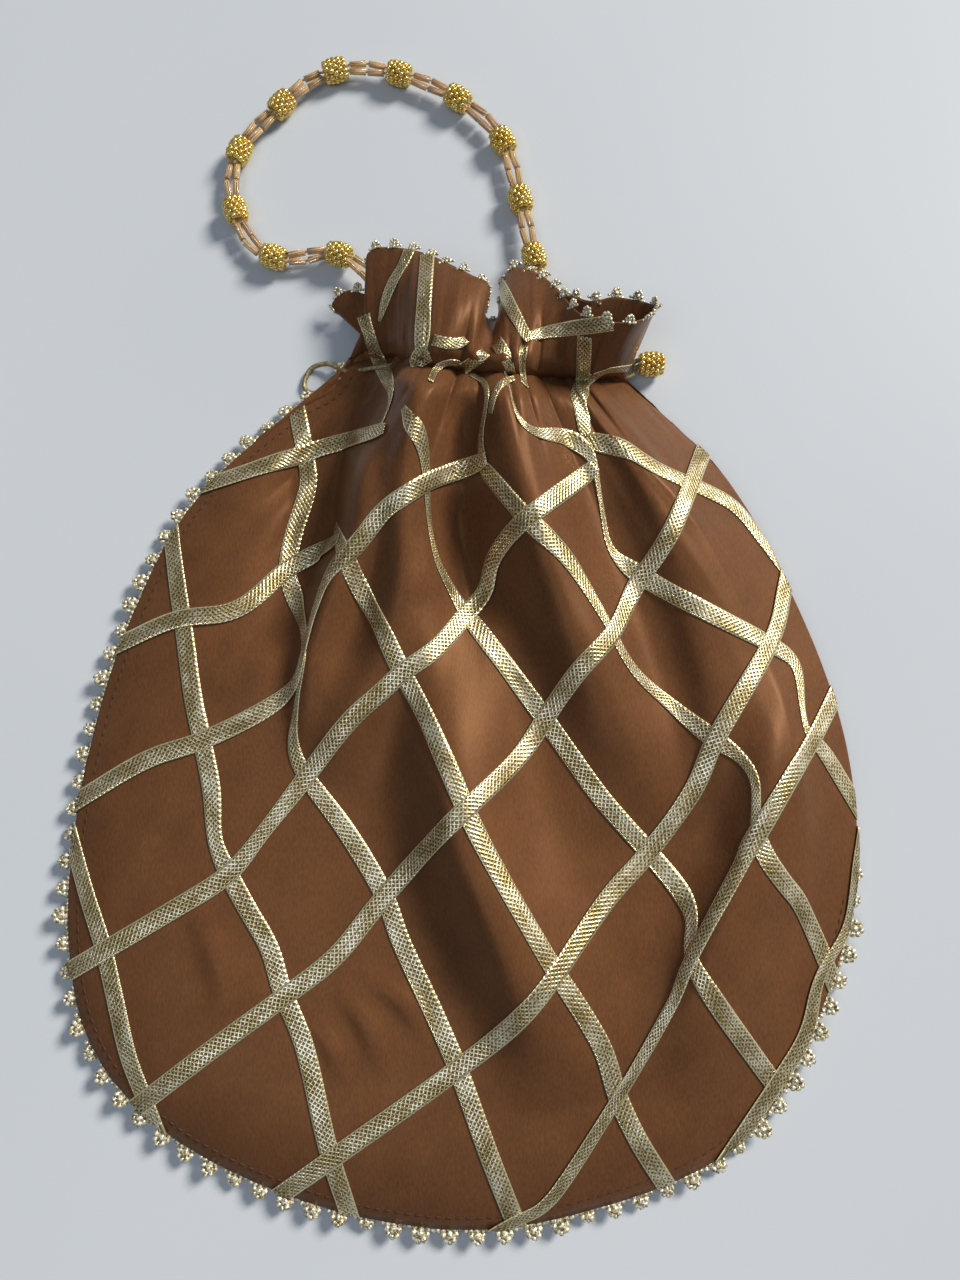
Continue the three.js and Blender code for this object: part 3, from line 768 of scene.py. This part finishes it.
def stopped_at_edge(line):
    """Ends a line of pixels where it leaves the panel; also which pixels that moved."""
    stopped = line.copy()
    inside = np.flatnonzero(within(line, seam_pixels))
    for last, step in ((inside[0], -1), (inside[-1], 1)):
        if not 0 <= last + step < len(line):
            continue
        near = line[last]
        far = line[last + step]
        for _ in range(10):
            middle = (near + far) / 2
            if within(middle[None], seam_pixels)[0]:
                near = middle
            else:
                far = middle
        stopped[last + step::step] = near
    return stopped, (stopped != line).any(axis=1)


def longer(line, reach):
    """The same line with a straight piece at each end."""
    steps = np.arange(RIBBON_STEP, reach, RIBBON_STEP)[:, None]
    way = tangents(line)
    return np.vstack((line[0] - way[0] * steps[::-1], line, line[-1] + way[-1] * steps))


def turned_under(row, lift):
    """Rows that carry a ribbon's end round the panel's edge and down to the seam."""
    _, _, place = near_line(to_photo(row), seam_pixels)
    out = np.stack([np.interp(place, np.arange(COLUMNS), axis) for axis in seam_out.T], axis=1)
    rows = []
    for under in front_under:
        below = np.stack([np.interp(place, np.arange(COLUMNS), axis) for axis in under.T], axis=1)
        rows.append(below + out * lift)
    return rows


def ribbon_middle(route):
    """The ribbon's middle on the cloth, the cloth's normals there, and the share of width."""
    line = evenly(curve_through(run_on(route)), 12 * len(route) + 20, 2)
    line = line[on_cloth(line[:, :2])]
    middle, _ = cast(line[:, :2])
    line = np.column_stack((calm(middle, 2), line[:, 2]))
    line = at_stations(line, np.arange(0, lengths_along(line)[-1], RIBBON_STEP))
    middle, normals = cast(to_photo(line[:, :3]))
    return calm(middle, 3), calm(normals, 4), line[:, 3]


def lay_line(wanted, laid, sewn_in):
    """Drops one line of a ribbon on the cloth; also which of its points stopped at the edge."""
    pixels = to_photo(wanted)
    moved = np.zeros(len(wanted), dtype=bool)
    if sewn_in:
        pixels, moved = stopped_at_edge(pixels)
    found, _ = cast(pixels)
    off = (np.linalg.norm(found - wanted, axis=1) > STRAY) & laid & ~moved
    found[off] = wanted[off]
    smooth = calm(found, 2)
    smooth[moved] = found[moved]
    return smooth, moved


def ribbon_strip(route, lift, sewn_in=True):
    """Points of the strip, row by row; a sewn-in ribbon goes on round the panel's edge."""
    route = np.array([(*point, 1.0)[:3] for point in route])
    middle, normals, share = ribbon_middle(route)
    laid = np.ones(len(middle), dtype=bool)
    added = 0
    if sewn_in:
        added = (len(longer(middle, TRIM_REACH)) - len(middle)) // 2
        middle = longer(middle, TRIM_REACH)
        normals = np.pad(normals, ((added, added), (0, 0)), "edge")
        share = np.pad(share, added, "edge")
        laid = np.pad(laid, added)
    sideways = np.cross(normals, tangents(middle))
    sideways /= np.linalg.norm(sideways, axis=1)[:, None]
    strip = []
    ended = np.ones(len(middle), dtype=bool)
    for place in ACROSS:
        wanted = middle + sideways * (place * RIBBON_WIDTH / 2 * share)[:, None]
        line, moved = lay_line(wanted, laid, sewn_in)
        strip.append(line + normals * lift)
        ended &= moved
    strip = np.stack(strip, axis=1)
    before = turned_under(strip[0], lift)[::-1] if ended[0] else []
    after = turned_under(strip[-1], lift) if ended[-1] else []
    kept = slice(0 if ended[0] else added, len(strip) if ended[-1] else len(strip) - added)
    return np.stack((*before, *strip[kept], *after))


def add_ribbon(name, strip):
    rows, columns, _ = strip.shape
    along = lengths_along(strip[:, columns // 2]) / RIBBON_WIDTH
    piece = add_mesh(name, strip.reshape(-1, 3), grid_faces(rows, columns), gota)
    add_uv(piece, np.tile((ACROSS + 1) / 2, rows), np.repeat(along, columns))
    shape = bmesh.new()
    shape.from_mesh(piece.data)
    bmesh.ops.remove_doubles(shape, verts=shape.verts, dist=0.02 * MM)
    shape.to_mesh(piece.data)
    shape.free()
    thicken(piece, RIBBON_THICKNESS, 0)
    return piece


UNDER_LIFT = 0.24
OVER_LIFT = 0.55
for set_name, routes, lift in (("rise", RISING, OVER_LIFT), ("fall", FALLING, UNDER_LIFT)):
    for number, route in enumerate(routes, 1):
        ribbon = add_ribbon(f"front_gota_{set_name}_{number}", ribbon_strip(route, lift))
        place_piece(ribbon, "gota_ribbon", f"front_ribbon_{set_name}_{number}")
for number, route in enumerate(NECK_RIBBONS, 1):
    ribbon = add_ribbon(f"neck_gota_{number:02d}", ribbon_strip(route, UNDER_LIFT, sewn_in=False))
    place_piece(ribbon, "gota_ribbon")


def back_ribbon(name, height):
    """A straight ribbon on the underside, between the ends of the node that it stands for."""
    corners = np.array([tuple(v.co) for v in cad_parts[name].data.vertices]) / MM
    flat = corners[:, :2] - corners[:, :2].mean(axis=0)
    heading = np.linalg.svd(flat, full_matrices=False)[2][0]
    reach = flat @ heading
    side = np.array((-heading[1], heading[0]))
    stations = np.linspace(reach.min() + 1.5, reach.max() - 1.5, 40)
    middle = corners[:, :2].mean(axis=0) + np.outer(stations, heading)
    strip = middle[:, None] + np.outer(ACROSS * RIBBON_WIDTH / 2, side)[None]
    kept = within(strip.reshape(-1, 2), seam_curve).reshape(strip.shape[:2]).all(axis=1)
    strip = np.concatenate((strip, np.full((*strip.shape[:2], 1), height)), axis=2)
    return strip[kept]


for set_name, height in (("rise", 0.2), ("fall", 0.8)):
    for number in range(1, 9):
        node_name = f"back_ribbon_{set_name}_{number}"
        ribbon = add_ribbon(f"back_gota_{set_name}_{number}", back_ribbon(node_name, height))
        place_piece(ribbon, "gota_ribbon", node_name)

place_piece(front_panel, "satin", "front_panel")
place_piece(back_panel, "satin", "back_panel")


# Beads and bugles, modelled once and copied

def primitive(operator, **settings):
    bpy.ops.object.select_all(action="DESELECT")
    operator(**settings)
    return bpy.context.active_object


def join(pieces):
    bpy.ops.object.select_all(action="DESELECT")
    for piece in pieces:
        piece.select_set(True)
    bpy.context.view_layer.objects.active = pieces[0]
    bpy.ops.object.join()
    return pieces[0]


def copy_at(pattern, name, matrix):
    piece = bpy.data.objects.new(name, pattern.data.copy())
    piece.data.name = name
    piece.data.transform(matrix)
    bpy.context.collection.objects.link(piece)
    return piece


def granulated_bead():
    """A bored barrel along Z, set with rings of small balls."""
    barrel = primitive(bpy.ops.mesh.primitive_cylinder_add, vertices=14, radius=2.3 * MM,
                       depth=(BEAD_LENGTH - 0.8) * MM)
    bpy.ops.object.mode_set(mode="EDIT")
    bpy.ops.mesh.select_all(action="DESELECT")
    bpy.ops.object.mode_set(mode="OBJECT")
    for face in barrel.data.polygons:
        face.select = abs(face.normal.z) > 0.9
    bpy.ops.object.mode_set(mode="EDIT")
    bpy.ops.mesh.inset(thickness=0.8 * MM, use_individual=True)
    bpy.ops.mesh.bridge_edge_loops()
    bpy.ops.object.mode_set(mode="OBJECT")
    ball = primitive(bpy.ops.mesh.primitive_uv_sphere_add, segments=8, ring_count=6, radius=GRANULE * MM)
    pieces = [barrel]
    rings = 5
    round_count = 10
    for ring in range(rings):
        height = (ring / (rings - 1) - 0.5) * (BEAD_LENGTH - 2 * GRANULE)
        radius = 2.75 - 0.4 * (2 * ring / (rings - 1) - 1) ** 4
        for step in range(round_count):
            angle = 2 * math.pi * (step + ring % 2 / 2) / round_count
            place = (radius * math.cos(angle) * MM, radius * math.sin(angle) * MM, height * MM)
            pieces.append(copy_at(ball, "granule", Matrix.Translation(place)))
    bpy.data.objects.remove(ball)
    bead = join(pieces)
    bead.data.materials.append(gold)
    bead.data.shade_smooth()
    return bead


def bugle_tube():
    """A short glass tube along Z with an open bore."""
    tube = primitive(bpy.ops.mesh.primitive_cylinder_add, vertices=10, radius=BUGLE_RADIUS * MM,
                     depth=BUGLE_LENGTH * MM)
    for face in tube.data.polygons:
        face.select = abs(face.normal.z) > 0.9
    bpy.ops.object.mode_set(mode="EDIT")
    bpy.ops.mesh.inset(thickness=0.4 * MM, use_individual=True)
    bpy.ops.mesh.bridge_edge_loops()
    bpy.ops.object.mode_set(mode="OBJECT")
    tube.data.materials.append(glass)
    tube.data.shade_smooth()
    return tube


def turned(place, along):
    turn = Vector(along).to_track_quat("Z", "Y").to_matrix().to_4x4()
    return Matrix.Translation(Vector(place) * MM) @ turn


handle_line = curve_through(HANDLE, 24)
handle_length = lengths_along(handle_line)[-1]
bead_pattern = granulated_bead()
bugle_pattern = bugle_tube()
bead_stations = [FIRST_BEAD + BEAD_PITCH * i for i in range(12)]
for number, station in enumerate(bead_stations, 1):
    place = at_stations(handle_line, [station])[0]
    ends = at_stations(handle_line, [station - 3, station + 3])
    bead = copy_at(bead_pattern, f"gold_bead_{number:02d}", turned(place, ends[1] - ends[0]))
    place_piece(bead, "gold_bead", f"handle_bead_{number:02d}")
stop_bead = copy_at(bead_pattern, "stop_bead", turned(STOP_BEAD, (1, 0, 0)))
place_piece(stop_bead, "gold_bead", "drawstring_bead")


def strand_line(side):
    """The strand's own line: together in the beads, apart between them."""
    stations = np.linspace(0, handle_length, 320)
    points = at_stations(handle_line, stations)
    ways = tangents(points)
    sideways = np.stack((ways[:, 1], -ways[:, 0], np.zeros(len(ways))), axis=1)
    sideways /= np.linalg.norm(sideways, axis=1)[:, None]
    phase = (stations - FIRST_BEAD) / BEAD_PITCH
    from_bead = np.abs(phase - np.round(phase)) * BEAD_PITCH
    spread = 0.5 + 0.9 * np.clip((from_bead - 2.8) / 3, 0, 1)
    return points + sideways * (side * spread)[:, None], stations


def add_cord(name, line, diameter, material):
    curve = bpy.data.curves.new(name, "CURVE")
    curve.dimensions = "3D"
    curve.bevel_depth = diameter / 2 * MM
    curve.bevel_resolution = 2
    spline = curve.splines.new("POLY")
    spline.points.add(len(line) - 1)
    spline.points.foreach_set("co", np.column_stack((line * MM, np.ones(len(line)))).ravel())
    curve.materials.append(material)
    piece = bpy.data.objects.new(name, curve)
    bpy.context.collection.objects.link(piece)
    return piece


def add_bugles(name, line, stations):
    """Two tubes end to end in each gap between beads, straight though the route bends."""
    slack = (BEAD_PITCH - BEAD_LENGTH - 2 * BUGLE_LENGTH) / 3
    starts = [bead_stations[0] - BEAD_LENGTH / 2 - slack - BUGLE_LENGTH]
    for station in bead_stations:
        starts.append(station + BEAD_LENGTH / 2 + slack)
        starts.append(starts[-1] + BUGLE_LENGTH + slack)
    tubes = []
    for start in starts[:-1]:
        reach = (start, start + BUGLE_LENGTH)
        ends = np.stack([np.interp(reach, stations, axis) for axis in line.T], axis=1)
        tubes.append(copy_at(bugle_pattern, name, turned(ends.mean(axis=0), ends[1] - ends[0])))
    return join(tubes)


for letter, side in (("a", 1), ("b", -1)):
    line, stations = strand_line(side)
    thread = add_cord(f"handle_thread_{letter}", line, THREAD, nylon)
    bugles = add_bugles(f"handle_bugles_{letter}", line, stations)
    place_piece(thread, "bugle_glass", f"handle_strand_{letter}")
    place_piece(bugles, "bugle_glass")

bpy.data.objects.remove(bead_pattern)
bpy.data.objects.remove(bugle_pattern)

drawstring_line = curve_through(DRAWSTRING, 10)
drawstring = add_cord("gold_drawstring", drawstring_line, CORD, wrapped_cord)
place_piece(drawstring, "gold_cord", "drawstring")


# Lace: one knotted picot, copied along the seam and the mouth

def picot():
    """A small fan of knots standing out along Y from a braid along X."""
    knots = ((0, 0.4, 1.1), (-1.7, 0.5, 0.9), (1.7, 0.5, 0.9), (-1.7, 1.9, 1.0), (1.7, 1.9, 1.0),
             (0, 1.9, 1.35), (-1.15, 3.2, 1.0), (1.15, 3.2, 1.0), (0, 3.9, 0.95), (-3.2, 0.4, 0.85),
             (3.2, 0.4, 0.85))
    ball = primitive(bpy.ops.mesh.primitive_ico_sphere_add, subdivisions=1, radius=1 * MM)
    pieces = []
    for number, (across, out, radius) in enumerate(knots):
        shape = Matrix.Diagonal((radius, radius, 0.75 * radius, 1))
        turn = Matrix.Rotation(number * 1.3, 4, "Z")
        height = 0.18 * (-1) ** number
        place = Matrix.Translation(Vector((across, out, height)) * MM)
        pieces.append(copy_at(ball, "picot_knot", place @ turn @ shape))
    bpy.data.objects.remove(ball)
    pattern = join(pieces)
    pattern.data.materials.append(lace)
    pattern.data.shade_smooth()
    return pattern


def lace_along(name, line, outward, pitch, scale, pattern):
    along = lengths_along(line)
    count = int(along[-1] / pitch)
    step = along[-1] / count
    copies = []
    for number in range(count):
        station = (number + 0.5) * step
        place = np.array([np.interp(station, along, axis) for axis in line.T])
        out = np.array([np.interp(station, along, axis) for axis in outward.T])
        ends = np.array([[np.interp(station + s, along, axis) for axis in line.T] for s in (-1, 1)])
        y = Vector(out).normalized()
        z = Vector(ends[1] - ends[0]).cross(y).normalized()
        x = y.cross(z)
        axes = Matrix((x, y, z)).transposed().to_4x4()
        size = scale * rng.uniform(0.88, 1.08)
        turn = Matrix.Rotation(rng.normal(0, 0.12), 4, "Z") @ Matrix.Rotation(rng.normal(0, 0.2), 4, "X")
        matrix = Matrix.Translation(Vector(place) * MM) @ axes @ turn @ Matrix.Scale(size, 4)
        copies.append(copy_at(pattern, name, matrix))
    return join(copies)


picot_pattern = picot()
lace_line = seam_mm - seam_out * (0.4 + ROLL_INSET * roll)[:, None]
seam_lace = lace_along("picot_seam_lace", lace_line, seam_out, PICOT_PITCH, 0.92, picot_pattern)
place_piece(seam_lace, "picot_lace", "seam_lace")
mouth_line = np.vstack((front_mouth, back_mouth[::-1][1:]))
neck_line = np.vstack((front_rows[3], back_cloth_rows[3][::-1][1:]))
mouth_out = mouth_line - neck_line
mouth_lace = lace_along("picot_mouth_lace", mouth_line, mouth_out, MOUTH_PICOT_PITCH, 0.58, picot_pattern)
place_piece(mouth_lace, "picot_lace", "mouth_lace")
bpy.data.objects.remove(picot_pattern)

# Topstitch: short stitches of brown thread round the body, a little inside the seam
STITCH_PITCH = 2.6
STITCH_LENGTH = 1.9
STITCH_INSET = 3.2


def topstitch():
    inner = seam_mm - seam_out * STITCH_INSET
    line, _ = cast(to_photo(np.column_stack((inner[:, :2], np.full(COLUMNS, RIM + 0.5)))))
    shown = line[roll < 0.3]
    along = lengths_along(shown)
    grain = primitive(bpy.ops.mesh.primitive_ico_sphere_add, subdivisions=1, radius=0.5 * MM)
    stitches = []
    for station in np.arange(2, along[-1] - 2, STITCH_PITCH):
        ends = at_stations(shown, [station, station + STITCH_LENGTH])
        shape = Matrix.Diagonal((0.5, 0.5, STITCH_LENGTH, 1))
        place = ends.mean(axis=0) + (0, 0, 0.05)
        stitches.append(copy_at(grain, "topstitch", turned(place, ends[1] - ends[0]) @ shape))
    bpy.data.objects.remove(grain)
    row = join(stitches)
    row.data.materials.append(stitch_thread)
    return row


seam_stitches = topstitch()
place_piece(seam_stitches, "satin")

# Floor, light and camera
# Matt painted board: pale, faintly uneven
floor_material, _, floor_shader, _ = speckled("matt_board", 330, 2, (0.3, "#C3CCD6"), (0.7, "#CDD5DD"))
set_shader(floor_shader, Roughness=0.6)
FLOOR_HALF = 1500
floor = add_mesh("floor", [(-FLOOR_HALF, -FLOOR_HALF, -0.1), (FLOOR_HALF, -FLOOR_HALF, -0.1),
                           (FLOOR_HALF, FLOOR_HALF, -0.1), (-FLOOR_HALF, FLOOR_HALF, -0.1)],
                 [(0, 1, 2, 3)], floor_material)


def soft_lamp(name, place, size, power, colour, gloss):
    lamp = bpy.data.lights.new(name, "AREA")
    lamp.shape = "DISK"
    lamp.size = size
    lamp.energy = power
    lamp.specular_factor = gloss
    lamp.color = linear(colour)[:3]
    holder = bpy.data.objects.new(name, lamp)
    holder.location = place
    holder.rotation_euler = (-Vector(place)).to_track_quat("-Z", "Y").to_euler()
    bpy.context.collection.objects.link(holder)


soft_lamp("key_lamp", (4.2, 3.4, 3.8), 2.1, 550, "#FFF6EA", 1.0)
soft_lamp("fill_lamp", (-0.8, -1.0, 2.8), 1.6, 16, "#EAF1FF", 0.2)
world = bpy.data.worlds.new("studio")
world.use_nodes = True
backdrop = world.node_tree.nodes["Background"]
backdrop.inputs["Color"].default_value = linear("#E4EAF2")
backdrop.inputs["Strength"].default_value = 0.2
bpy.context.scene.world = world

view = bpy.data.cameras.new("photo_view")
view.lens = 36 * FOCAL / FRAME_HEIGHT
view.sensor_width = 36
view.clip_start = 0.01
camera = bpy.data.objects.new("photo_view", view)
camera.location = EYE * MM
camera.rotation_euler = (TILT, 0, 0)
bpy.context.collection.objects.link(camera)
bpy.context.scene.camera = camera
bpy.context.scene.view_settings.view_transform = "Standard"
